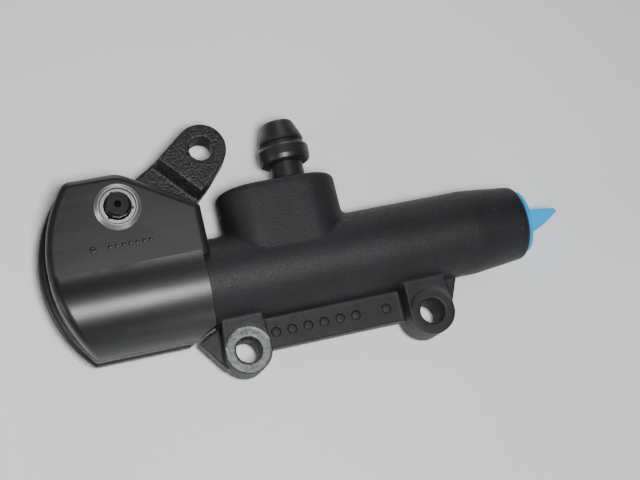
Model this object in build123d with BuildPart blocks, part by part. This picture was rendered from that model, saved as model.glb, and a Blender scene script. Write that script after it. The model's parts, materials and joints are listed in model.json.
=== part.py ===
"""Rear brake master cylinder with an enclosed actuating lever, in millimetres.

Frame: origin midway between the two fixing holes, on the mounting face of the ears.
+X runs along the cylinder towards the outlet, +Y towards the fluid inlet, +Z up along
the fixing holes. The bore axis is parallel to X, the lever pivot axis is parallel to Z.
"""
from build123d import *
import os

os.makedirs("parts", exist_ok=True)

# ---------------------------------------------------------------- driving dimensions
HOLE_SPACING = 50.0       # between the two fixing holes
FIXING_R = 3.3            # clearance hole for an M6 screw
EAR_R = 6.15
EAR_TOP_LEFT = (5.5, 6.2)  # each ear is this wide left of its hole where it meets the barrel
EAR_TOP_RIGHT = 5.5
EAR_THICK = 13.0
SPOT_FACE = 0.3

AXIS_Y = 19.5             # bore axis above the line of the fixing holes
AXIS_Z = 8.5              # bore axis above the mounting face
BARREL_R = 11.5
BARREL_LEFT = -32.2       # shoulder that the cover butts against
TAPER_START = 41.0
TAPER_END_R = 9.9
OUTLET_END = 56.0
SPIGOT_R = 10.4
SPIGOT_LEFT = -38.0

WEB_HALF = 20.0
WEB_BOTTOM = -0.2
WEB_THICK = 6.0

BOSS_X = -8.4
BOSS_LENGTH = 32.2
BOSS_DEPTH = 21.6
BOSS_CORNER = 9.8
BOSS_TOP = 41.8
BOSS_EDGE = 1.6           # rounding round the top of the inlet boss
BOSS_BLEND = 1.5          # where the boss grows out of the barrel
GROMMET_SEAT = 4.6        # depth of the grommet's seat below the top of the boss

PIVOT_X = -50.6
PIVOT_Y = 41.2
PIN_R = 3.25
PIN_TOP = 23.4
GAP = 0.05                # clearance between faces that slide on each other
CHEEK_IN = 4.8            # half gap of the fork
CHEEK_OUT = 7.8
CHEEK_R = 6.0

EYE_X = -25.7
EYE_Y = 54.9
EYE_R = 6.75
EYE_HOLE_R = 3.2
LEVER_HALF = 4.0
HUB_HALF = 4.3
HUB_R = 6.6
NOSE_R = 4.0
ARM_TOP = 1.5             # top of the thin part of the arm, above the mid plane

FACE_HALF = 11.6          # mid plane to the flat faces of the cover
BULGE_Y = 19.0            # axis of the round part of the cover
BULGE_R = 13.75
COVER_WALL = 1.9
COVER_EDGE = 2.0          # rounding round the flat faces
BULGE_EDGE = 2.2
LIP_OUT = 0.35            # bead where the upper shell meets the lower one
LIP_HEIGHT = 0.6
COVER_RIGHT = -30.0       # right side of the flat part
BULGE_RIGHT = BARREL_LEFT - 0.05
CREST_Y = 25.2            # below this the cover ends at the barrel's shoulder
SHOULDER = (-48.8, 50.3)
CORNER = (COVER_RIGHT, 38.7)
FOOT_TIP = (COVER_RIGHT, 8.6)  # the underside slopes up to here beside the barrel
FOOT_SLOPE = 0.47
# left side of each shell: foot, middle and peak of an arc
UPPER_ARC = ((-62.8, 5.3), (-70.6, 27.8), (-62.8, 50.3))
BULGE_ARC = ((-60.8, 3.0), (-70.6, 27.8), (-62.8, 50.3))
RIM_ARC = ((-63.4, 4.3), (-73.1, 28.4), (-64.3, 50.9))
RIM_DEPTH = 4.0
RIM_EDGE = 1.5
SLOT_HALF = 5.2           # half height of the slot that the arm comes out of

BORE_R = 5.5
BORE_END = 28.0
MOUTH_R = 7.5
MOUTH_FLOOR = -28.0      # the bore proper starts here
RING_LEFT = -30.6         # groove of the snap ring
RING_WIDTH = 1.3
RING_R = 8.2
PORT_R = 4.25
PORT_START = 44.0
PASSAGE_R = 1.8

LIP_X = -1.5              # front of the primary cup at rest
NIPPLE_X = -3.6
CHAMBER_R = 5.0
CHAMBER_FLOOR = 29.0
GROMMET_R = 6.9

MID = Plane.XY.offset(AXIS_Z)
BORE_AXIS = Axis((0, AXIS_Y, AXIS_Z), (1, 0, 0))
INLET_AXIS = Axis((NIPPLE_X, 0, AXIS_Z), (0, 1, 0))
PIVOT_PLANE = Plane(origin=(PIVOT_X, PIVOT_Y, 0), x_dir=(1, 0, 0), z_dir=(0, -1, 0))
PIVOT_AXIS = Axis((PIVOT_X, PIVOT_Y, 0), (0, 0, 1))


def across_bore(x):
    """Plane square to the bore axis, with its own X along +Y."""
    return Plane(origin=(x, AXIS_Y, AXIS_Z), x_dir=(0, 1, 0), z_dir=(1, 0, 0))


def across_inlet(x, y):
    """Plane square to the inlet axis, with its own X along +X."""
    return Plane(origin=(x, y, AXIS_Z), x_dir=(1, 0, 0), z_dir=(0, 1, 0))


def outline(plane, points):
    """A closed straight-sided face on a plane."""
    with BuildSketch(plane) as face:
        with BuildLine():
            Polyline(*points, close=True)
        make_face()
    return face.sketch


def about_bore(pairs):
    """Profile given as distance along X and radius from the bore axis."""
    return outline(MID, [(x, AXIS_Y + r) for x, r in pairs])


def about_inlet(pairs):
    """Profile given as radius from the inlet axis and height along Y."""
    return outline(MID, [(NIPPLE_X + r, y) for r, y in pairs])


def pivot_disc(height, r_out, r_in=0.0):
    """A disc or ring round the pivot axis, drawn at a height."""
    with BuildSketch(Plane.XY.offset(height)) as disc:
        with Locations((PIVOT_X, PIVOT_Y)):
            Circle(r_out)
            if r_in:
                Circle(r_in, mode=Mode.SUBTRACT)
    return disc.sketch


def about_pivot(pairs):
    """Profile given as radius from the pivot axis and height along Z."""
    return outline(PIVOT_PLANE, pairs)


def cover_outline(plane, arc, grow=0.0, rounded=True):
    """Outline of a cover shell whose left side is an arc, grown outwards by an amount."""
    foot_y, peak_y = arc[0][1], arc[2][1]
    with BuildSketch(plane) as face:
        with BuildLine():
            left = ThreePointArc(*arc)
            Polyline(left @ 1, (SHOULDER[0], peak_y), CORNER, FOOT_TIP,
                     (FOOT_TIP[0] - (FOOT_TIP[1] - foot_y) / FOOT_SLOPE, foot_y), left @ 0)
        make_face()
        if rounded:
            for corner, radius in ((arc[2], 3.0), ((SHOULDER[0], peak_y), 8.0), (CORNER, 1.8),
                                   (arc[0], 1.0)):
                fillet(face.vertices().sort_by_distance(corner)[0], radius)
        if grow:
            offset(amount=grow, kind=Kind.INTERSECTION)
    return face.sketch


# ---------------------------------------------------------------- cylinder body
with BuildPart() as cylinder_body:
    revolve(about_bore([(SPIGOT_LEFT, 0), (SPIGOT_LEFT, SPIGOT_R), (BARREL_LEFT, SPIGOT_R),
                        (BARREL_LEFT, BARREL_R), (TAPER_START, BARREL_R),
                        (OUTLET_END, TAPER_END_R), (OUTLET_END, 0)]), axis=BORE_AXIS)
    fillet(cylinder_body.edges().filter_by(GeomType.CIRCLE).sort_by(Axis.X)[-1], 2.0)
    # inlet boss
    with BuildSketch(across_inlet(BOSS_X, AXIS_Y)):
        RectangleRounded(BOSS_LENGTH, BOSS_DEPTH, BOSS_CORNER)
    extrude(amount=BOSS_TOP - AXIS_Y)
    fillet(cylinder_body.faces().sort_by(Axis.Y)[-1].edges(), BOSS_EDGE)
    boss_seam = cylinder_body.edges().filter_by_position(Axis.Y, AXIS_Y + 2, AXIS_Y + BARREL_R - 1)
    fillet(boss_seam.filter_by_position(Axis.X, BOSS_X - BOSS_LENGTH, BOSS_X + BOSS_LENGTH), BOSS_BLEND)
    # ears, with the web and two gussets that tie them to the barrel
    for ear_x, ear_left in zip((-HOLE_SPACING / 2, HOLE_SPACING / 2), EAR_TOP_LEFT):
        with BuildSketch(Plane.XY):
            with BuildLine():
                Polyline((ear_x - EAR_R, 0), (ear_x - ear_left, 9), (ear_x - ear_left, AXIS_Y),
                         (ear_x + EAR_TOP_RIGHT, AXIS_Y), (ear_x + EAR_TOP_RIGHT, 9),
                         (ear_x + EAR_R, 0), close=True)
            make_face()
            with Locations((ear_x, 0)):
                Circle(EAR_R)
        extrude(amount=EAR_THICK)
    with BuildSketch(Plane.XY):
        with Locations((0, (WEB_BOTTOM + AXIS_Y) / 2)):
            Rectangle(2 * WEB_HALF, AXIS_Y - WEB_BOTTOM)
    extrude(amount=WEB_THICK)
    extrude(outline(Plane.XY, [(-36.6, 4.9), (-32.2, 7.0), (-30.0, 7.8), (-30.0, -3.4),
                               (-31.0, -3.0)]), amount=8.0)
    extrude(outline(Plane.XY, [(35.4, 9.5), (30.0, 9.5), (30.0, -1.0), (31.1, -0.6)]), amount=9.2)
    # fork that carries the lever pivot
    cheek = [(-33.0, 12.2), (-33.0, 26.0), (-34.4, 29.0), (PIVOT_X + 4.6, PIVOT_Y + 3.86),
             (PIVOT_X - 5.6, PIVOT_Y - 2.2), (-43.0, 20.0), (-38.0, 12.2)]
    for low in (AXIS_Z + CHEEK_IN, AXIS_Z - CHEEK_OUT):
        extrude(outline(Plane.XY.offset(low), cheek), amount=CHEEK_OUT - CHEEK_IN)
        extrude(pivot_disc(low, CHEEK_R), amount=CHEEK_OUT - CHEEK_IN)
    # bore, mouth and outlet port, all on the bore axis
    revolve(about_bore([(SPIGOT_LEFT - 7, 0), (SPIGOT_LEFT - 7, MOUTH_R), (RING_LEFT, MOUTH_R),
                        (RING_LEFT, RING_R), (RING_LEFT + RING_WIDTH, RING_R),
                        (RING_LEFT + RING_WIDTH, MOUTH_R), (MOUTH_FLOOR, MOUTH_R),
                        (MOUTH_FLOOR, BORE_R), (BORE_END, BORE_R), (BORE_END + 2.2, PASSAGE_R),
                        (PORT_START, PASSAGE_R), (PORT_START, PORT_R),
                        (OUTLET_END + 1, PORT_R), (OUTLET_END + 1, 0)]),
            axis=BORE_AXIS, mode=Mode.SUBTRACT)
    # inlet seat, chamber and the two drillings into the bore
    revolve(about_inlet([(0, BOSS_TOP + 1), (GROMMET_R, BOSS_TOP + 1), (GROMMET_R, BOSS_TOP - GROMMET_SEAT),
                         (CHAMBER_R, BOSS_TOP - GROMMET_SEAT), (CHAMBER_R, CHAMBER_FLOOR), (0, CHAMBER_FLOOR)]),
            axis=INLET_AXIS, mode=Mode.SUBTRACT)
    for drill_x, drill_r in ((-7.1, 1.2), (LIP_X + 0.9, 0.4)):
        with BuildSketch(across_inlet(drill_x, AXIS_Y)):
            Circle(drill_r)
        extrude(amount=CHAMBER_FLOOR - AXIS_Y + 0.5, mode=Mode.SUBTRACT)
    # fixing holes with spot faces, and the pivot hole through the fork
    with BuildSketch(Plane.XY.offset(EAR_THICK)):
        with Locations((-HOLE_SPACING / 2, 0), (HOLE_SPACING / 2, 0)):
            Circle(EAR_R + 0.1)
    extrude(amount=-SPOT_FACE, mode=Mode.SUBTRACT)
    with BuildSketch(Plane.XY.offset(-1)):
        with Locations((-HOLE_SPACING / 2, 0), (HOLE_SPACING / 2, 0)):
            Circle(FIXING_R)
    extrude(amount=EAR_THICK + 2, mode=Mode.SUBTRACT)
    extrude(pivot_disc(AXIS_Z - 9, PIN_R + 0.03), amount=18, mode=Mode.SUBTRACT)
cylinder_body.part.label = "cylinder_body"
export_step(cylinder_body.part, "parts/cylinder_body.step")

# ---------------------------------------------------------------- cover
# the lever's arm leaves the cover through a slot along its upper right edge
slot_zone = [(-56.0, 56.0), (-56.0, 47.2), (-49.5, 47.2), (-34.2, 37.8), (-33.2, 37.0), (-28.0, 37.0),
             (-28.0, 56.0)]

FAR_LEFT = -80.0

with BuildPart() as bulge:
    extrude(cover_outline(MID.offset(GAP), BULGE_ARC, rounded=False), amount=BULGE_R + 1)
    with BuildSketch(across_bore(FAR_LEFT)):
        with Locations((BULGE_Y - AXIS_Y, 0)):
            Circle(BULGE_R)
    extrude(amount=BULGE_RIGHT - FAR_LEFT, mode=Mode.INTERSECT)
    crown = bulge.faces().sort_by(Axis.Z)[-1]
    fillet(crown.edges().sort_by(Axis.X)[0], BULGE_EDGE)

# space inside the upper shell; the round part has an end wall towards the barrel
with BuildPart() as room:
    extrude(cover_outline(MID, UPPER_ARC, -COVER_WALL), amount=BULGE_R)
    with BuildSketch(across_bore(FAR_LEFT)):
        with Locations((BULGE_Y - AXIS_Y, 0)):
            Circle(BULGE_R - COVER_WALL)
        with Locations((BULGE_Y - AXIS_Y + 20, 0)):
            Rectangle(40, 2 * (FACE_HALF - COVER_WALL))
    extrude(amount=-FAR_LEFT, mode=Mode.INTERSECT)
    extrude(outline(MID, [(BULGE_RIGHT - COVER_WALL, 0), (BULGE_RIGHT - COVER_WALL, CREST_Y + 1.8),
                          (0, CREST_Y + 1.8), (0, 0)]), amount=BULGE_R, mode=Mode.SUBTRACT)

# what the barrel and its spigot take up
with BuildPart() as barrel_space:
    for start, end, radius in ((BULGE_RIGHT - 2 * COVER_WALL, BULGE_RIGHT + 1, SPIGOT_R + 0.3),
                               (BULGE_RIGHT, COVER_RIGHT + 2, BARREL_R + 0.15)):
        with BuildSketch(across_bore(start)):
            Circle(radius)
        extrude(amount=end - start)
    extrude(outline(Plane.XY.offset(AXIS_Z - 20), [(BULGE_RIGHT, 0), (BULGE_RIGHT, CREST_Y),
                                                   (-20, CREST_Y), (-20, 0)]), amount=40)

with BuildPart() as cover_upper_shell:
    extrude(cover_outline(MID.offset(GAP), UPPER_ARC), amount=FACE_HALF - GAP)
    fillet(cover_upper_shell.faces().sort_by(Axis.Z)[-1].edges(), COVER_EDGE)
    extrude(outline(MID, [(FAR_LEFT, 0), (FAR_LEFT, BULGE_Y), (-20, BULGE_Y), (-20, 0)]), amount=20,
            mode=Mode.SUBTRACT)
    add(bulge.part)
    extrude(cover_outline(MID.offset(GAP), UPPER_ARC, LIP_OUT), amount=LIP_HEIGHT)
    add(room.part, mode=Mode.SUBTRACT)
    add(barrel_space.part, mode=Mode.SUBTRACT)
    extrude(outline(MID, slot_zone), amount=SLOT_HALF, mode=Mode.SUBTRACT)
    extrude(pivot_disc(AXIS_Z, PIN_R + 0.15), amount=20, mode=Mode.SUBTRACT)
cover_upper_shell.part.label = "cover_upper_shell"
export_step(cover_upper_shell.part, "parts/cover_upper_shell.step")

# rim of the lower shell that frames the upper one, widest on the left
with BuildPart() as rim:
    rim_plane = Plane.XY.offset(AXIS_Z - RIM_DEPTH)
    extrude(cover_outline(rim_plane, RIM_ARC), amount=RIM_DEPTH - GAP)
    fillet(rim.faces().sort_by(Axis.Z)[-1].edges(), RIM_EDGE)
    fillet(rim.faces().sort_by(Axis.Z)[0].edges(), 1.0)
    extrude(cover_outline(rim_plane, UPPER_ARC, -COVER_WALL), amount=RIM_DEPTH, mode=Mode.SUBTRACT)
    extrude(outline(Plane.XY, [(-37.7, 0), (-37.7, 12), (-20, 12), (-20, 0)]), amount=20,
            mode=Mode.SUBTRACT)

with BuildPart() as cover_lower_shell:
    add(mirror(cover_upper_shell.part, about=MID))
    add(rim.part)
    add(barrel_space.part, mode=Mode.SUBTRACT)
    extrude(outline(Plane.XY.offset(AXIS_Z - SLOT_HALF), slot_zone), amount=2 * SLOT_HALF,
            mode=Mode.SUBTRACT)
cover_lower_shell.part.label = "cover_lower_shell"
export_step(cover_lower_shell.part, "parts/cover_lower_shell.step")

# ---------------------------------------------------------------- pivot
WASHER_R = 5.95
WASHER_THICK = 1.2
TOOTH_GAPS = 3
face_top = AXIS_Z + FACE_HALF
face_low = AXIS_Z - FACE_HALF

with BuildPart() as pivot_lock_washer:
    foot, hole_r = face_top + GAP, PIN_R + 0.35
    # a bevelled rim stands above the flat middle of the washer
    revolve(about_pivot([(hole_r, foot), (hole_r, foot + 0.75), (4.45, foot + 0.75),
                         (4.75, foot + WASHER_THICK), (5.0, foot + WASHER_THICK),
                         (WASHER_R, foot + 0.45), (WASHER_R, foot)]), axis=PIVOT_AXIS)
    with BuildSketch(Plane.XY.offset(foot)):
        with Locations((PIVOT_X, PIVOT_Y)):
            with PolarLocations(hole_r, TOOTH_GAPS, start_angle=-15):
                Circle(0.5)
    extrude(amount=WASHER_THICK, mode=Mode.SUBTRACT)
pivot_lock_washer.part.label = "pivot_lock_washer"
export_step(pivot_lock_washer.part, "parts/pivot_lock_washer.step")

with BuildPart() as pivot_washer_lower:
    extrude(pivot_disc(face_low - GAP, WASHER_R, PIN_R + 0.2), amount=-0.6)
pivot_washer_lower.part.label = "pivot_washer_lower"
export_step(pivot_washer_lower.part, "parts/pivot_washer_lower.step")

HEAD_TOP = face_low - 0.7
with BuildPart() as pivot_pin:
    extrude(pivot_disc(HEAD_TOP, PIN_R), amount=PIN_TOP - HEAD_TOP)
    chamfer(pivot_pin.edges().filter_by(GeomType.CIRCLE).sort_by(Axis.Z)[-1], 0.5)
    extrude(pivot_disc(HEAD_TOP - 0.95, 5.0), amount=0.95)
    chamfer(pivot_pin.edges().filter_by(GeomType.CIRCLE).sort_by(Axis.Z)[0], 0.3)
    with Locations((PIVOT_X, PIVOT_Y, PIN_TOP)):
        Cone(0.2, 0.9, 1.0, align=(Align.CENTER, Align.CENTER, Align.MAX), mode=Mode.SUBTRACT)
pivot_pin.part.label = "pivot_pin"
export_step(pivot_pin.part, "parts/pivot_pin.step")

# ---------------------------------------------------------------- lever
BUSH_R = 4.6
ramp_from = (-38.9, 52.9)
ramp_to = (-29.6, 42.3)

with BuildPart() as lever:
    under = Plane.XY.offset(AXIS_Z - LEVER_HALF)
    # hub, leg and nose inside the cover
    extrude(pivot_disc(AXIS_Z - HUB_HALF, HUB_R), amount=2 * HUB_HALF)
    with BuildSketch(under):
        with Locations((PIVOT_X, (PIVOT_Y + AXIS_Y) / 2)):
            Rectangle(2 * NOSE_R, PIVOT_Y - AXIS_Y)
        with Locations((PIVOT_X, AXIS_Y)):
            Circle(NOSE_R)
    extrude(amount=2 * LEVER_HALF)
    # flat arm between hub and eye
    arm = [(PIVOT_X, PIVOT_Y + HUB_R - 0.2), (-45.2, 49.8), (-39.7, 53.0), (-30.15, 60.0),
           (-20.7, 50.4), (-25.1, 45.4), (-28.9, 41.9), (-31.6, 40.8), (PIVOT_X + 1, PIVOT_Y - 5.5)]
    extrude(outline(under, arm), amount=LEVER_HALF + ARM_TOP)
    # thicker eye with a sloping step down to the arm
    with BuildSketch(under):
        with Locations((EYE_X, EYE_Y)):
            Circle(EYE_R)
        with BuildLine():
            Polyline(ramp_from, (-30.15, 60.0), (-20.7, 50.4), (-25.1, 45.4), ramp_to, close=True)
        make_face()
    extrude(amount=2 * LEVER_HALF)
    ramp_middle = ((ramp_from[0] + ramp_to[0]) / 2, (ramp_from[1] + ramp_to[1]) / 2,
                   AXIS_Z + LEVER_HALF)
    step_edge = lever.edges().sort_by_distance(ramp_middle)[0]
    chamfer(step_edge, LEVER_HALF - ARM_TOP - 0.3)
    # eye hole and bore for the bush
    with Locations((EYE_X, EYE_Y, AXIS_Z)):
        Cylinder(EYE_HOLE_R, 20, mode=Mode.SUBTRACT)
    with Locations((PIVOT_X, PIVOT_Y, AXIS_Z)):
        Cylinder(BUSH_R, 20, mode=Mode.SUBTRACT)
lever.part.label = "lever"
export_step(lever.part, "parts/lever.step")

with BuildPart() as pivot_bush:
    extrude(pivot_disc(AXIS_Z - HUB_HALF, BUSH_R, PIN_R + 0.04), amount=2 * HUB_HALF)
pivot_bush.part.label = "pivot_bush"
export_step(pivot_bush.part, "parts/pivot_bush.step")

with BuildPart() as thrust_shims:
    for low in (AXIS_Z + HUB_HALF + GAP, AXIS_Z - CHEEK_IN + GAP):
        extrude(pivot_disc(low, 6.0, PIN_R + 0.1), amount=CHEEK_IN - HUB_HALF - 2 * GAP)
thrust_shims.part.label = "thrust_shims"
export_step(thrust_shims.part, "parts/thrust_shims.step")

# ---------------------------------------------------------------- push rod
PAD_LEFT = PIVOT_X + NOSE_R + GAP
PAD_RIGHT = PAD_LEFT + 2.2
NUT_RIGHT = PAD_RIGHT + 2.4
ROD_R = 2.5
ROD_TIP = -24.0

with BuildPart() as push_rod:
    revolve(about_bore([(PAD_LEFT + 0.6, 0), (PAD_LEFT + 0.6, ROD_R - 0.3), (PAD_LEFT + 0.9, ROD_R),
                        (ROD_TIP - 1.5, ROD_R), (ROD_TIP - 0.5, ROD_R - 0.6), (ROD_TIP, 1.0),
                        (ROD_TIP, 0)]), axis=BORE_AXIS)
push_rod.part.label = "push_rod"
export_step(push_rod.part, "parts/push_rod.step")

with BuildPart() as push_rod_pad:
    revolve(about_bore([(PAD_LEFT, 0), (PAD_LEFT, 4.0), (PAD_LEFT + 0.5, 4.5), (PAD_RIGHT, 4.5),
                        (PAD_RIGHT, ROD_R), (PAD_LEFT + 0.6, ROD_R), (PAD_LEFT + 0.6, 0)]),
            axis=BORE_AXIS)
push_rod_pad.part.label = "push_rod_pad"
export_step(push_rod_pad.part, "parts/push_rod_pad.step")

with BuildPart() as push_rod_nut:
    with BuildSketch(across_bore(PAD_RIGHT)):
        RegularPolygon(3.5, 6, major_radius=False)
        Circle(ROD_R, mode=Mode.SUBTRACT)
    extrude(amount=NUT_RIGHT - PAD_RIGHT)
push_rod_nut.part.label = "push_rod_nut"
export_step(push_rod_nut.part, "parts/push_rod_nut.step")

# ---------------------------------------------------------------- mouth of the bore
BOOT_CLIP = 1.4
BOOT_INSIDE = 4.9         # clears the pad that passes through the boot
boot_out = SPIGOT_LEFT + 0.1
with BuildPart() as dust_boot:
    revolve(about_bore([(boot_out, MOUTH_R - GAP), (boot_out + BOOT_CLIP, MOUTH_R - GAP),
                        (boot_out + BOOT_CLIP, BOOT_INSIDE), (-38.9, BOOT_INSIDE), (-39.4, 3.2),
                        (-40.2, 3.2), (-40.2, ROD_R + GAP), (-41.7, ROD_R + GAP), (-41.7, 3.4),
                        (-41.0, 3.4), (-41.0, 3.9), (-39.9, 3.9), (-39.5, BOOT_INSIDE + 0.7),
                        (boot_out, BOOT_INSIDE + 0.7)]), axis=BORE_AXIS)
dust_boot.part.label = "dust_boot"
export_step(dust_boot.part, "parts/dust_boot.step")

with BuildPart() as snap_ring:
    revolve(about_bore([(RING_LEFT + GAP, 6.3), (RING_LEFT + GAP, RING_R - GAP),
                        (RING_LEFT + RING_WIDTH - GAP, RING_R - GAP),
                        (RING_LEFT + RING_WIDTH - GAP, 6.3)]), axis=BORE_AXIS)
    with Locations((RING_LEFT, AXIS_Y + RING_R - 1, AXIS_Z)):
        Box(6, 4, 3.6, mode=Mode.SUBTRACT)
snap_ring.part.label = "snap_ring"
export_step(snap_ring.part, "parts/snap_ring.step")

WASHER_LEFT = RING_LEFT + RING_WIDTH + GAP
with BuildPart() as stop_washer:
    revolve(about_bore([(WASHER_LEFT, 3.6), (WASHER_LEFT, MOUTH_R - GAP),
                        (MOUTH_FLOOR - GAP, MOUTH_R - GAP), (MOUTH_FLOOR - GAP, 3.6)]), axis=BORE_AXIS)
stop_washer.part.label = "stop_washer"
export_step(stop_washer.part, "parts/stop_washer.step")

# ---------------------------------------------------------------- piston and its seals
PISTON_R = BORE_R - 0.05
SEAL_R = BORE_R - 0.03     # lips of the cups
SKIRT_R = 3.4
GROOVE_R = 3.9
REAR_CUP = -25.2          # left side of the rear seal groove
CUP_WIDTH = 2.6
LAND_X = -5.8             # rear side of the land behind the primary cup
CUP_BACK = LIP_X - 3.0
STEM_R = 2.2
SPRING_START = LIP_X + 1.0

with BuildPart() as piston:
    revolve(about_bore([(ROD_TIP + GAP, 0), (ROD_TIP + GAP, 1.0 + GAP), (ROD_TIP - 0.45, ROD_R - 0.6 + GAP),
                        (ROD_TIP - 1.45, ROD_R + GAP),
                        (MOUTH_FLOOR + 0.05, ROD_R + GAP), (MOUTH_FLOOR + 0.05, PISTON_R),
                        (REAR_CUP, PISTON_R), (REAR_CUP, GROOVE_R), (REAR_CUP + CUP_WIDTH, GROOVE_R),
                        (REAR_CUP + CUP_WIDTH, PISTON_R), (-20.8, PISTON_R), (-19.8, SKIRT_R),
                        (LAND_X - 1.0, SKIRT_R), (LAND_X, PISTON_R), (CUP_BACK - 0.3, PISTON_R),
                        (CUP_BACK - 0.3, STEM_R), (SPRING_START + 2.5, STEM_R),
                        (SPRING_START + 2.5, 0)]), axis=BORE_AXIS)
    # feed holes through the land, behind the primary cup
    with BuildSketch(across_bore(LAND_X - 1.0)):
        with PolarLocations(4.4, 4):
            Circle(0.5)
    extrude(amount=3, mode=Mode.SUBTRACT)
piston.part.label = "piston"
export_step(piston.part, "parts/piston.step")

with BuildPart() as secondary_cup:
    revolve(about_bore([(REAR_CUP + GAP, GROOVE_R), (REAR_CUP + GAP, BORE_R - 0.15),
                        (REAR_CUP + 1.2, BORE_R - 0.25), (REAR_CUP + CUP_WIDTH - GAP, SEAL_R),
                        (REAR_CUP + CUP_WIDTH - GAP, SEAL_R - 0.5), (REAR_CUP + 1.4, GROOVE_R + 0.5),
                        (REAR_CUP + 1.4, GROOVE_R)]), axis=BORE_AXIS)
secondary_cup.part.label = "secondary_cup"
export_step(secondary_cup.part, "parts/secondary_cup.step")

with BuildPart() as cup_shim:
    revolve(about_bore([(CUP_BACK - 0.3, STEM_R), (CUP_BACK - 0.3, 4.9), (CUP_BACK, 4.9),
                        (CUP_BACK, STEM_R)]), axis=BORE_AXIS)
cup_shim.part.label = "cup_shim"
export_step(cup_shim.part, "parts/cup_shim.step")

with BuildPart() as primary_cup:
    revolve(about_bore([(CUP_BACK, STEM_R), (CUP_BACK, BORE_R - 0.2), (CUP_BACK + 1.0, BORE_R - 0.3),
                        (LIP_X, SEAL_R), (LIP_X, SEAL_R - 0.6), (CUP_BACK + 1.3, 3.7),
                        (CUP_BACK + 1.3, 3.2), (CUP_BACK + 1.9, STEM_R)]), axis=BORE_AXIS)
primary_cup.part.label = "primary_cup"
export_step(primary_cup.part, "parts/primary_cup.step")

SPRING_R = 4.7
WIRE = 1.0
with BuildPart() as spring_seat:
    revolve(about_bore([(CUP_BACK + 1.9, STEM_R), (CUP_BACK + 1.9, 3.0), (SPRING_START - 0.8, 3.0),
                        (SPRING_START - 0.8, SPRING_R), (SPRING_START, SPRING_R),
                        (SPRING_START, 3.5), (SPRING_START + 1.6, 3.5), (SPRING_START + 1.6, STEM_R)]),
            axis=BORE_AXIS)
spring_seat.part.label = "spring_seat"
export_step(spring_seat.part, "parts/spring_seat.step")

with BuildPart() as return_spring:
    revolve(about_bore([(SPRING_START + GAP, SPRING_R - WIRE), (SPRING_START + GAP, SPRING_R),
                        (BORE_END - GAP, SPRING_R), (BORE_END - GAP, SPRING_R - WIRE)]),
            axis=BORE_AXIS)
return_spring.part.label = "return_spring"
export_step(return_spring.part, "parts/return_spring.step")

# ---------------------------------------------------------------- fluid inlet
NECK_R = 4.45
BARB_R = 3.5
NIPPLE_TOP = 56.0
SEAT_LOW = BOSS_TOP - GROMMET_SEAT

with BuildPart() as inlet_grommet:
    revolve(about_inlet([(NECK_R, SEAT_LOW + GAP), (GROMMET_R - GAP, SEAT_LOW + GAP),
                         (GROMMET_R - GAP, BOSS_TOP - 0.1), (GROMMET_R - 0.6, BOSS_TOP + 0.4),
                         (NECK_R, BOSS_TOP + 0.4)]), axis=INLET_AXIS)
inlet_grommet.part.label = "inlet_grommet"
export_step(inlet_grommet.part, "parts/inlet_grommet.step")

with BuildPart() as inlet_nipple:
    revolve(about_inlet([(2.0, 34.5), (CHAMBER_R - 0.2, 34.5), (CHAMBER_R - 0.2, SEAT_LOW - 0.3),
                         (NECK_R, SEAT_LOW), (NECK_R, 47.4), (BARB_R, 47.4), (BARB_R - 0.4, 51.8),
                         (BARB_R, 52.0), (BARB_R - 0.9, NIPPLE_TOP), (2.0, NIPPLE_TOP)]),
            axis=INLET_AXIS)
inlet_nipple.part.label = "inlet_nipple"
export_step(inlet_nipple.part, "parts/inlet_nipple.step")

with BuildPart() as inlet_cap:
    revolve(about_inlet([(BARB_R + GAP, 47.5), (5.9, 47.5), (6.6, 47.9), (6.95, 49.0), (6.95, 51.4),
                         (6.5, 52.1), (5.5, 52.4), (5.5, 53.2), (6.1, 53.5), (6.1, 54.2), (4.5, 58.5),
                         (4.1, 59.1), (0, 59.2), (0, NIPPLE_TOP + 0.2), (BARB_R - 0.8, NIPPLE_TOP + 0.2),
                         (BARB_R + GAP, 52.6)]), axis=INLET_AXIS)
inlet_cap.part.label = "inlet_cap"
export_step(inlet_cap.part, "parts/inlet_cap.step")

# ---------------------------------------------------------------- outlet plug
FLANGE_R = 8.6
FLANGE_THICK = 1.1
TAB_TIP = 67.7
flange_left = OUTLET_END + GAP
with BuildPart() as outlet_plug:
    revolve(about_bore([(PORT_START + 5, 0), (PORT_START + 5, PORT_R - 0.6),
                        (PORT_START + 6.5, PORT_R - GAP), (flange_left, PORT_R - GAP),
                        (flange_left, FLANGE_R), (flange_left + FLANGE_THICK, FLANGE_R - 0.3),
                        (flange_left + FLANGE_THICK, 0)]), axis=BORE_AXIS)
    # pull tab, a flat horn on the middle of the flange
    tab_half = 0.9
    with BuildSketch(MID.offset(-tab_half)):
        with BuildLine():
            upper = ThreePointArc((flange_left + 0.2, AXIS_Y + 2.7), (62.8, AXIS_Y + 2.4),
                                  (TAB_TIP - 0.5, AXIS_Y + 1.8))
            tip = ThreePointArc(upper @ 1, (TAB_TIP, AXIS_Y + 1.0), (TAB_TIP - 0.9, AXIS_Y + 0.2))
            lower = ThreePointArc(tip @ 1, (62.6, AXIS_Y - 2.4), (flange_left + 0.2, AXIS_Y - 4.0))
            Line(lower @ 1, upper @ 0)
        make_face()
    extrude(amount=2 * tab_half)
outlet_plug.part.label = "outlet_plug"
export_step(outlet_plug.part, "parts/outlet_plug.step")
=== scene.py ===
"""Looks of a motorcycle rear brake master cylinder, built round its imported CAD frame.

Metres, in the CAD frame: +X along the cylinder towards the outlet, +Y towards the fluid
inlet, +Z up along the fixing holes. Positions come from the CAD boxes and the record.
"""
import json
import math

import bmesh
import bpy
from mathutils import Matrix, Vector


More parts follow.
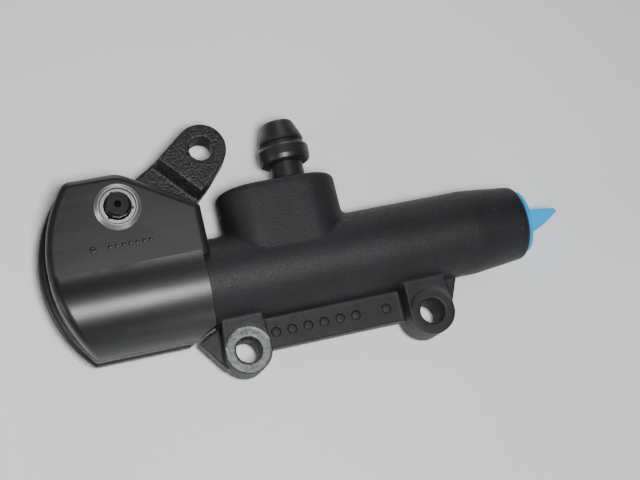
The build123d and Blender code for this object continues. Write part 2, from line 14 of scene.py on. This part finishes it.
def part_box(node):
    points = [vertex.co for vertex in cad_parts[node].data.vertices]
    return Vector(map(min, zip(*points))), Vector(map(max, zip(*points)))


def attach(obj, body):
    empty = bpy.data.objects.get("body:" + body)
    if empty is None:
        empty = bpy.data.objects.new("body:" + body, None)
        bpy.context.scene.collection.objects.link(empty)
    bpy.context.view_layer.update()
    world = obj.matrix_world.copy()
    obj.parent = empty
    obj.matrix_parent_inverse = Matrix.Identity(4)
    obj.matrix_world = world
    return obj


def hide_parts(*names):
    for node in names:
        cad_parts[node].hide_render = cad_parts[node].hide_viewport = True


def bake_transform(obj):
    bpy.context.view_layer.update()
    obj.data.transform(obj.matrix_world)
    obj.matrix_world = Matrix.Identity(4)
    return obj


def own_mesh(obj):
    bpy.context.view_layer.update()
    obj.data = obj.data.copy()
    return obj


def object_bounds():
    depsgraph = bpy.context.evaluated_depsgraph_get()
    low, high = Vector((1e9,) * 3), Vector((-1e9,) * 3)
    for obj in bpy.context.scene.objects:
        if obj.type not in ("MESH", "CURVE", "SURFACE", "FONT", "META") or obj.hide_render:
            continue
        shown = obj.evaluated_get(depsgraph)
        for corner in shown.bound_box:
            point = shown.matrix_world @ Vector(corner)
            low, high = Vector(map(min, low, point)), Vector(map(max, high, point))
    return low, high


MM = 0.001

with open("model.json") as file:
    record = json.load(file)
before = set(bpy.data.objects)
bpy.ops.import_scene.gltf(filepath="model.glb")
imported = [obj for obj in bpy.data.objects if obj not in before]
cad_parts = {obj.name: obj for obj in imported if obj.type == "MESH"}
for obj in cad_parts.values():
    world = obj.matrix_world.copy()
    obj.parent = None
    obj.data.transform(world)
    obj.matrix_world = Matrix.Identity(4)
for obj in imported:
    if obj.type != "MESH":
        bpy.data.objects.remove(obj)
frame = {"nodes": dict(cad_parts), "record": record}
nodes = frame["nodes"]
cad_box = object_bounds()


# ------------------------------------------------------------------ node material helpers
class Shade:
    """A node material, built step by step."""

    def __init__(self, name):
        self.mat = bpy.data.materials.new(name)
        self.mat.use_nodes = True
        self.tree = self.mat.node_tree
        self.nodes = self.tree.nodes
        self.bsdf = self.nodes["Principled BSDF"]
        self.coords = self.nodes.new("ShaderNodeTexCoord").outputs["Object"]

    def node(self, kind, inputs=(), **settings):
        made = self.nodes.new("ShaderNode" + kind)
        for key, value in settings.items():
            setattr(made, key, value)
        for key, value in dict(inputs).items():
            self.feed(made.inputs[key], value)
        return made

    def feed(self, socket, value):
        if isinstance(value, bpy.types.NodeSocket):
            self.tree.links.new(value, socket)
        else:
            socket.default_value = value

    def noise(self, scale, detail=4.0, rough=0.5, coords=None):
        made = self.node("TexNoise", {"Vector": coords or self.coords, "Scale": scale,
                                      "Detail": detail, "Roughness": rough})
        return made.outputs["Fac"]

    def ramp(self, fac, stops):
        made = self.node("ValToRGB", {"Fac": fac})
        ramp = made.color_ramp
        while len(ramp.elements) < len(stops):
            ramp.elements.new(0.5)
        for element, (place, color) in zip(ramp.elements, stops):
            element.position = place
            level = (color,) * 3 if isinstance(color, (int, float)) else color
            element.color = (*level, 1.0)
        return made.outputs["Color"]

    def math(self, operation, a, b=0.0, c=0.0):
        made = self.node("Math", operation=operation)
        for socket, value in zip(made.inputs, (a, b, c)):
            self.feed(socket, value)
        return made.outputs["Value"]

    def mix(self, fac, a, b):
        made = self.node("Mix", data_type="RGBA")
        self.feed(made.inputs[0], fac)
        for socket, value in ((made.inputs[6], a), (made.inputs[7], b)):
            self.feed(socket, (*value, 1.0) if isinstance(value, tuple) and len(value) == 3 else value)
        return made.outputs[2]

    def bump(self, height, distance, strength):
        made = self.node("Bump", {"Height": height, "Distance": distance, "Strength": strength})
        return made.outputs["Normal"]

    def set(self, **values):
        for key, value in values.items():
            socket = self.bsdf.inputs[key.replace("_", " ")]
            if isinstance(value, tuple) and len(value) == 3 and socket.type == "RGBA":
                value = (*value, 1.0)
            self.feed(socket, value)


def worn_edges(s, low=0.52, high=0.6, grain=None):
    """1 along outward edges, from the mesh's own curvature, broken up by a noise."""
    point = s.node("NewGeometry").outputs["Pointiness"]
    if grain is not None:
        point = s.math("MULTIPLY_ADD", grain, 0.05, s.math("SUBTRACT", point, 0.025))
    made = s.node("MapRange", {"Value": point, "From Min": low, "From Max": high}, clamp=True)
    return made.outputs["Result"]


def along(s, axis):
    """One coordinate of the CAD frame, in metres."""
    return s.node("SeparateXYZ", {"Vector": s.coords}).outputs[axis]


def ring_mask(s, x, y, inner, outer, soft=0.00012):
    """1 between two radii round a line parallel to Z."""
    parts = s.node("SeparateXYZ", {"Vector": s.coords}).outputs
    dx = s.math("SUBTRACT", parts["X"], x)
    dy = s.math("SUBTRACT", parts["Y"], y)
    far = s.math("SQRT", s.math("ADD", s.math("MULTIPLY", dx, dx), s.math("MULTIPLY", dy, dy)))
    inside = s.node("MapRange", {"Value": far, "From Min": outer + soft, "From Max": outer}, clamp=True)
    beyond = s.node("MapRange", {"Value": far, "From Min": inner - soft, "From Max": inner}, clamp=True)
    return s.math("MULTIPLY", inside.outputs["Result"], beyond.outputs["Result"])


def above(s, axis, level, soft=0.00012):
    """1 past a level on one axis."""
    made = s.node("MapRange", {"Value": along(s, axis), "From Min": level - soft,
                               "From Max": level}, clamp=True)
    return made.outputs["Result"]


def cast_black():
    """Blasted casting under matt black paint, bare metal where a face was spotted after painting."""
    s = Shade("body_casting")
    grain = s.noise(1900.0, 4.0, 0.62)
    pits = s.noise(5200.0, 2.0, 0.5)
    blotch = s.noise(70.0, 3.0)
    base = s.ramp(blotch, [(0.35, (0.0075, 0.0078, 0.0088)), (0.65, (0.0120, 0.0125, 0.0140))])
    speck = s.ramp(pits, [(0.64, 0.0), (0.74, 1.0)])
    paint = s.mix(s.math("MULTIPLY", speck, 0.55), base, (0.11, 0.11, 0.12))
    paint = s.mix(s.math("MULTIPLY", worn_edges(s, 0.53, 0.62, grain), 0.25), paint, (0.07, 0.07, 0.075))
    ear_x = -HOLE_SPACING / 2
    bare = s.math("MULTIPLY", ring_mask(s, ear_x, 0.0, 0.0033, 0.0060),
                  s.math("MULTIPLY", above(s, "Z", EAR_TOP - 0.0006),
                         s.node("MapRange", {"Value": grain, "From Min": 0.30, "From Max": 0.42},
                                clamp=True).outputs["Result"]))
    metal = s.ramp(s.noise(700.0, 4.0), [(0.3, (0.065, 0.068, 0.070)), (0.7, (0.125, 0.128, 0.130))])
    rough = s.ramp(grain, [(0.3, 0.66), (0.7, 0.46)])
    height = s.math("ADD", grain, s.math("MULTIPLY", pits, 0.35))
    s.set(Base_Color=s.mix(bare, paint, metal), Metallic=s.math("MULTIPLY", bare, 0.85),
          Roughness=s.mix(bare, rough, (0.42, 0.42, 0.42)),
          Specular_IOR_Level=0.38,
          Normal=s.bump(height, 0.10 * MM, 0.9))
    return s.mat


def moulded_cover():
    """Satin black nylon moulding: fine texture, faint flow streaks, paler rubbed edges."""
    s = Shade("cover_plastic")
    texture = s.noise(2600.0, 3.0, 0.55)
    wide = s.noise(38.0, 3.0)
    stretched = s.node("Mapping", {"Vector": s.coords, "Scale": (30.0, 260.0, 120.0)})
    flow = s.noise(1.0, 3.0, 0.5, stretched.outputs["Vector"])
    base = s.mix(wide, (0.0060, 0.0068, 0.0062), (0.0105, 0.0115, 0.0102))
    base = s.mix(s.math("MULTIPLY", worn_edges(s, 0.54, 0.64, texture), 0.3), base, (0.055, 0.055, 0.05))
    scuff = s.ramp(s.noise(420.0, 6.0, 0.7), [(0.70, 0.0), (0.80, 1.0)])
    s.set(Base_Color=s.mix(s.math("MULTIPLY", scuff, 0.15), base, (0.06, 0.06, 0.058)),
          Roughness=s.math("MULTIPLY_ADD", flow, 0.12,
                           s.math("MULTIPLY_ADD", texture, 0.10, 0.265)),
          Specular_IOR_Level=0.55,
          Normal=s.bump(s.math("ADD", texture, s.math("MULTIPLY", flow, 0.6)), 0.035 * MM, 0.6))
    return s.mat


def rough_iron():
    """Oily black lever casting: coarse sand skin, with glints painted into the colour as pale specks."""
    s = Shade("lever_iron")
    coarse = s.noise(1150.0, 5.0, 0.7)
    fine = s.noise(2400.0, 3.0)
    cells = s.node("TexVoronoi", {"Vector": s.coords, "Scale": 1500.0}).outputs["Distance"]
    base = s.ramp(coarse, [(0.35, (0.007, 0.007, 0.0075)), (0.7, (0.022, 0.022, 0.024))])
    # painted highlight: pale specks in the base colour stand in for glints of light
    painted_glint = s.ramp(fine, [(0.60, 0.0), (0.72, 1.0)])
    worn = s.math("MULTIPLY", worn_edges(s, 0.53, 0.6, coarse), 0.5)
    base = s.mix(s.math("MULTIPLY", painted_glint, 0.5), base, (0.09, 0.09, 0.095))
    s.set(Base_Color=s.mix(worn, base, (0.10, 0.10, 0.10)),
          Metallic=0.25,
          Roughness=s.ramp(coarse, [(0.3, 0.30), (0.7, 0.58)]),
          Normal=s.bump(s.math("MULTIPLY_ADD", cells, 0.7, s.math("MULTIPLY_ADD", fine, 0.3, coarse)),
                        0.15 * MM, 0.9))
    return s.mat


def plated_steel(name, color, rough, x, y, dull=0.75):
    """Turned and plated steel: concentric tool lines, cloudy plating, brighter edges."""
    s = Shade(name)
    parts = s.node("SeparateXYZ", {"Vector": s.coords}).outputs
    dx = s.math("SUBTRACT", parts["X"], x)
    dy = s.math("SUBTRACT", parts["Y"], y)
    far = s.math("SQRT", s.math("ADD", s.math("MULTIPLY", dx, dx), s.math("MULTIPLY", dy, dy)))
    lines = s.node("TexNoise", {"W": s.math("MULTIPLY", far, 5200.0), "Scale": 1.0, "Detail": 2.0},
                   noise_dimensions="1D").outputs["Fac"]
    cloud = s.noise(260.0, 4.0, 0.6)
    edge = worn_edges(s, 0.52, 0.58)
    tone = s.mix(cloud, tuple(c * dull for c in color), color)
    tone = s.mix(s.math("MULTIPLY", edge, 0.5), tone, tuple(min(c * 1.25, 0.9) for c in color))
    s.set(Base_Color=tone, Metallic=0.95,
          Roughness=s.math("MULTIPLY_ADD", cloud, 0.16, s.math("MULTIPLY_ADD", lines, 0.08, rough - 0.12)),
          Normal=s.bump(s.math("MULTIPLY_ADD", lines, 0.7, cloud), 0.012 * MM, 0.6))
    return s.mat


def machined(name, color, rough, axis, scale=4200.0, grey=0.8):
    """Metal turned or drawn along one axis: fine lines across it and soft staining."""
    s = Shade(name)
    lines = s.node("TexNoise", {"W": s.math("MULTIPLY", along(s, axis), scale), "Scale": 1.0,
                                "Detail": 3.0}, noise_dimensions="1D").outputs["Fac"]
    stain = s.noise(170.0, 4.0, 0.6)
    tone = s.mix(stain, tuple(c * grey for c in color), color)
    tone = s.mix(s.math("MULTIPLY", worn_edges(s, 0.52, 0.6), 0.4), tone,
                 tuple(min(c * 1.3, 0.95) for c in color))
    s.set(Base_Color=tone, Metallic=0.95,
          Roughness=s.math("MULTIPLY_ADD", stain, 0.14, s.math("MULTIPLY_ADD", lines, 0.10, rough - 0.12)),
          Normal=s.bump(lines, 0.02 * MM, 0.5))
    return s.mat


def rubber(name, color, rough, dust=0.18):
    """Moulded rubber: very fine skin, a little pale bloom, shinier where it is handled."""
    s = Shade(name)
    skin = s.noise(3000.0, 3.0)
    bloom = s.noise(240.0, 5.0, 0.65)
    pale = s.ramp(bloom, [(0.50, 0.0), (0.75, 1.0)])
    tone = s.mix(s.math("MULTIPLY", pale, dust), color, (0.07, 0.07, 0.072))
    tone = s.mix(s.math("MULTIPLY", worn_edges(s, 0.53, 0.62), 0.2), tone, (0.06, 0.06, 0.06))
    s.set(Base_Color=tone,
          Roughness=s.math("MULTIPLY_ADD", bloom, 0.14, s.math("MULTIPLY_ADD", skin, 0.08, rough - 0.1)),
          Normal=s.bump(s.math("MULTIPLY_ADD", bloom, 0.3, skin), 0.03 * MM, 0.5))
    return s.mat


def pale_plastic():
    """Soft translucent blue polyethylene with faint flow marks."""
    s = Shade("plug_plastic")
    flow = s.noise(1.0, 4.0, 0.55,
                   s.node("Mapping", {"Vector": s.coords, "Scale": (90.0, 420.0, 420.0)}).outputs["Vector"])
    skin = s.noise(2200.0, 3.0)
    tone = s.mix(flow, (0.0005, 0.28, 0.72), (0.0015, 0.37, 0.84))
    tone = s.mix(s.math("MULTIPLY", worn_edges(s, 0.52, 0.6), 0.5), tone, (0.01, 0.50, 0.90))
    s.set(Base_Color=tone,
          Roughness=s.math("MULTIPLY_ADD", skin, 0.12, 0.40), Specular_IOR_Level=0.2,
          Subsurface_Weight=0.2, Subsurface_Scale=0.002, Subsurface_Radius=(0.2, 0.8, 1.0),
          Normal=s.bump(s.math("MULTIPLY_ADD", flow, 0.8, skin), 0.03 * MM, 0.5))
    return s.mat


def paper_floor():
    """Pale matt paper."""
    s = Shade("floor")
    grain = s.noise(700.0, 5.0, 0.6)
    wide = s.noise(5.0, 3.0)
    s.set(Base_Color=s.mix(wide, (0.84, 0.85, 0.86), (0.88, 0.885, 0.89)),
          Roughness=s.math("MULTIPLY_ADD", grain, 0.1, 0.82),
          Normal=s.bump(grain, 0.05 * MM, 0.3))
    return s.mat


# ------------------------------------------------------------------ places read from the frame
pin_low, pin_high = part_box("pivot_pin")
PIVOT_X = (pin_low[0] + pin_high[0]) / 2
PIVOT_Y = (pin_low[1] + pin_high[1]) / 2
HOLE_SPACING = 0.050
EAR_TOP = 0.013

materials = {
    "body_casting": cast_black(),
    "cover_plastic": moulded_cover(),
    "dark_steel": plated_steel("dark_steel", (0.035, 0.035, 0.036), 0.42, PIVOT_X, PIVOT_Y),
    "zinc_steel": plated_steel("zinc_steel", (0.42, 0.43, 0.42), 0.42, PIVOT_X, PIVOT_Y, 0.8),
    "plain_steel": machined("plain_steel", (0.45, 0.46, 0.47), 0.34, "X"),
    "lever_iron": rough_iron(),
    "bronze": machined("bronze", (0.52, 0.36, 0.17), 0.40, "Z"),
    "soft_rubber": rubber("soft_rubber", (0.012, 0.012, 0.012), 0.62),
    "piston_alloy": machined("piston_alloy", (0.42, 0.41, 0.36), 0.34, "X", 6000.0),
    "moulded_nylon": rubber("moulded_nylon", (0.012, 0.012, 0.0125), 0.42, 0.08),
    "cap_rubber": rubber("cap_rubber", (0.0125, 0.0125, 0.0135), 0.40, 0.14),
    "plug_plastic": pale_plastic(),
}
slots = {s["node"]: s["material_slot"] for s in frame["record"]["subparts"]}
for name, obj in nodes.items():
    obj.data.materials.clear()
    obj.data.materials.append(materials[slots[name]])

# ------------------------------------------------------------------ pieces and softened castings
def add_mesh(name, bm, slot, body):
    """A finished bmesh as a smooth piece. It rides on a body, unless body is None."""
    bmesh.ops.recalc_face_normals(bm, faces=bm.faces[:])
    data = bpy.data.meshes.new(name)
    bm.to_mesh(data)
    bm.free()
    data.polygons.foreach_set("use_smooth", [True] * len(data.polygons))
    data.materials.append(materials[slot])
    obj = bpy.data.objects.new(name, data)
    bpy.context.scene.collection.objects.link(obj)
    if body:
        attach(obj, body)
    return obj


def softened(node, voxel, passes, share):
    """Modifiers that round a cast part's sharp edges a little, as real casting has them."""
    obj = nodes[node]
    skin = obj.modifiers.new("skin", "REMESH")
    skin.mode = "VOXEL"
    skin.voxel_size = voxel
    skin.use_smooth_shade = True
    soft = obj.modifiers.new("soft", "SMOOTH")
    soft.iterations = passes
    soft.factor = 0.5
    thin = obj.modifiers.new("thin", "DECIMATE")
    thin.ratio = share
    thin.use_collapse_triangulate = True


softened("cylinder_body", 0.34 * MM, 4, 0.35)
softened("lever", 0.30 * MM, 3, 0.4)


# ------------------------------------------------------------------ plain pips where the real one has marks
def pip_row(name, places, radius, height, z, slot, body, rim=False):
    """Low round pips, or small rings, moulded on a face that looks along +Z."""
    bm = bmesh.new()
    around = 24
    for x, y in places:
        profile = [(radius, -0.3 * height), (radius * 0.97, height * 0.45), (radius * 0.85, height * 0.85),
                   (radius * 0.62, height)]
        if rim:
            profile += [(radius * 0.5, height * 0.8), (radius * 0.42, -0.3 * height)]
        loops = [[bm.verts.new((x + r * math.cos(2 * math.pi * k / around),
                                y + r * math.sin(2 * math.pi * k / around), z + h))
                  for k in range(around)] for r, h in profile]
        for lower, upper in zip(loops, loops[1:]):
            for k in range(around):
                bm.faces.new((lower[k], lower[k - 1], upper[k - 1], upper[k]))
        if rim:
            for k in range(around):
                bm.faces.new((loops[-1][k], loops[-1][k - 1], loops[0][k - 1], loops[0][k]))
        else:
            bm.faces.new(loops[-1])
            bm.faces.new(loops[0][::-1])
    return add_mesh(name, bm, slot, body)


WEB_FACE = 6.0 * MM
PIP_Y = 3.9 * MM
pip_row("web_pips", [((-16.0 + 4.4 * k) * MM, PIP_Y) for k in range(6)] + [(14.6 * MM, PIP_Y)],
        1.35 * MM, 0.5 * MM, WEB_FACE, "body_casting", "cylinder")
cover_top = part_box("cover_upper_shell")[1][2]
pip_row("cover_pips", [((-54.4 + 1.7 * k) * MM, 31.0 * MM) for k in range(7)],
        0.42 * MM, 0.14 * MM, cover_top, "cover_plastic", "cylinder")
pip_row("cover_ring_pip", [(-58.6 * MM, 31.0 * MM)], 0.75 * MM, 0.16 * MM, cover_top,
        "cover_plastic", "cylinder", rim=True)


def tube_along(points, radius, around=12):
    """A round wire along a list of points, closed at both ends."""
    bm = bmesh.new()
    loops = []
    side = None
    for k, here in enumerate(points):
        ahead = (points[min(k + 1, len(points) - 1)] - points[max(k - 1, 0)]).normalized()
        if side is None:
            side = ahead.orthogonal().normalized()
        side = (side - ahead * side.dot(ahead)).normalized()
        up = ahead.cross(side)
        loops.append([bm.verts.new(here + radius * (side * math.cos(a) + up * math.sin(a)))
                      for a in (2 * math.pi * n / around for n in range(around))])
    for lower, upper in zip(loops, loops[1:]):
        for n in range(around):
            bm.faces.new((lower[n], lower[n - 1], upper[n - 1], upper[n]))
    bm.faces.new(loops[0])
    bm.faces.new(loops[-1][::-1])
    return bm


def spring():
    """Closed-end compression spring in the space of its CAD tube."""
    (x0, y0, z0), (x1, y1, z1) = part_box("return_spring")
    wire = 0.6 * MM
    radius = (y1 - y0) / 2 - wire
    axis_y, axis_z = (y0 + y1) / 2, (z0 + z1) / 2
    turns, dead, steps = 9.5, 1.0, 40
    free = (x1 - x0) - 2 * wire
    closed = 2.1 * wire * dead
    points = []
    for k in range(int(turns * steps) + 1):
        turn = k / steps
        if turn < dead:
            run = closed * turn / dead
        elif turn > turns - dead:
            run = free - closed * (turns - turn) / dead
        else:
            run = closed + (free - 2 * closed) * (turn - dead) / (turns - 2 * dead)
        angle = 2 * math.pi * turn
        points.append(Vector((x0 + wire + run, axis_y + radius * math.cos(angle),
                              axis_z + radius * math.sin(angle))))
    piece = add_mesh("spring_coil", tube_along(points, wire), "plain_steel", "cylinder")
    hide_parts("return_spring")
    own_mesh(piece)
    return piece


def boot():
    """Rubber boot: a lip that wipes the rod, a thin ribbed sleeve, and a ring clipped in the mouth."""
    (x0, y0, z0), (x1, y1, z1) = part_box("dust_boot")
    axis_y, axis_z = (y0 + y1) / 2, (z0 + z1) / 2
    outer = (y1 - y0) / 2
    rod = 2.56 * MM
    ribs = 9
    # (distance from the rod's lip, radius): out along the outside, back along the inside
    outside = [(0.0, 2.58), (0.0, 3.28), (0.25, 3.42), (0.6, 3.42), (0.8, 3.9), (1.2, 4.05), (1.7, 3.95),
               (1.95, 4.3), (2.15, 5.3)]
    outside += [(2.4 + 1.3 * k / ribs, 5.5 + 0.12 * math.cos(1.9 * k)) for k in range(ribs + 1)]
    outside += [(3.8, 5.8)]
    ring = [(3.8, -0.2), (3.95, 0.0), (5.05, 0.0), (5.2, -0.2)]
    inside = [(5.2, 5.05), (5.05, 4.92)]
    inside += [(3.8 - 1.05 * k / ribs, 4.96 + 0.05 * math.cos(1.9 * k)) for k in range(ribs + 1)]
    inside += [(2.36, 3.6), (2.1, 3.2), (1.5, 3.2), (1.3, 2.62), (0.1, 2.56)]
    profile = [(x * MM, r * MM) for x, r in outside] + [(x * MM, outer + r * MM) for x, r in ring]
    profile += [(x * MM, max(r * MM, rod)) for x, r in inside]
    bm = bmesh.new()
    around = 64
    loops = [[bm.verts.new((x0 + x, axis_y + r * math.cos(a), axis_z + r * math.sin(a)))
              for a in (2 * math.pi * n / around for n in range(around))] for x, r in profile]
    for lower, upper in zip(loops, loops[1:] + loops[:1]):
        for n in range(around):
            bm.faces.new((lower[n], lower[n - 1], upper[n - 1], upper[n]))
    piece = add_mesh("boot_sleeve", bm, "soft_rubber", None)
    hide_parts("dust_boot")
    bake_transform(piece)
    return piece


spring()
boot()

# ------------------------------------------------------------------ floor, camera, light
low, high = cad_box
bpy.ops.mesh.primitive_plane_add(size=4.0, location=(0, 0, low.z - 0.0005))
floor = bpy.context.object
floor.name = "floor"
floor.data.materials.append(paper_floor())

CAMERA_AT = Vector((-0.06915, -0.0370, 0.31491))
CAMERA_LOOKS = Vector((0.2180, 0.1945, -0.9564))
CAMERA_UP = Vector((0.1877, 0.9533, 0.2367))
LENS = 67.5

camera = bpy.data.objects.new("camera", bpy.data.cameras.new("camera"))
bpy.context.scene.collection.objects.link(camera)
camera.data.lens = LENS
camera.data.sensor_width = 36.0
camera.data.clip_start = 0.01
back = -CAMERA_LOOKS.normalized()
right = CAMERA_UP.cross(back).normalized()
camera.matrix_world = Matrix((right, back.cross(right), back)).transposed().to_4x4()
camera.matrix_world.translation = CAMERA_AT
bpy.context.scene.camera = camera


def area_light(name, at, aim, size, power):
    data = bpy.data.lights.new(name, "AREA")
    data.shape = "DISK"
    data.size = size
    data.energy = power
    light = bpy.data.objects.new(name, data)
    bpy.context.scene.collection.objects.link(light)
    light.location = at
    light.rotation_euler = (Vector(aim) - Vector(at)).to_track_quat("-Z", "Y").to_euler()
    return light


area_light("key", CAMERA_AT + Vector((0.03, -0.012, 0.02)), (0, 0.02, 0), 0.06, 1.25)
area_light("left", (-0.80, -0.05, 0.26), (0, 0.02, 0), 0.30, 1.3)
area_light("low", (0.25, -0.85, 0.26), (0, 0.02, 0), 0.30, 1.3)
area_light("back", (0.10, 0.90, 0.26), (0, 0.02, 0), 0.35, 1.7)

world = bpy.data.worlds.new("world")
world.use_nodes = True
world.node_tree.nodes["Background"].inputs["Color"].default_value = (0.75, 0.78, 0.82, 1.0)
world.node_tree.nodes["Background"].inputs["Strength"].default_value = 0.17
bpy.context.scene.world = world
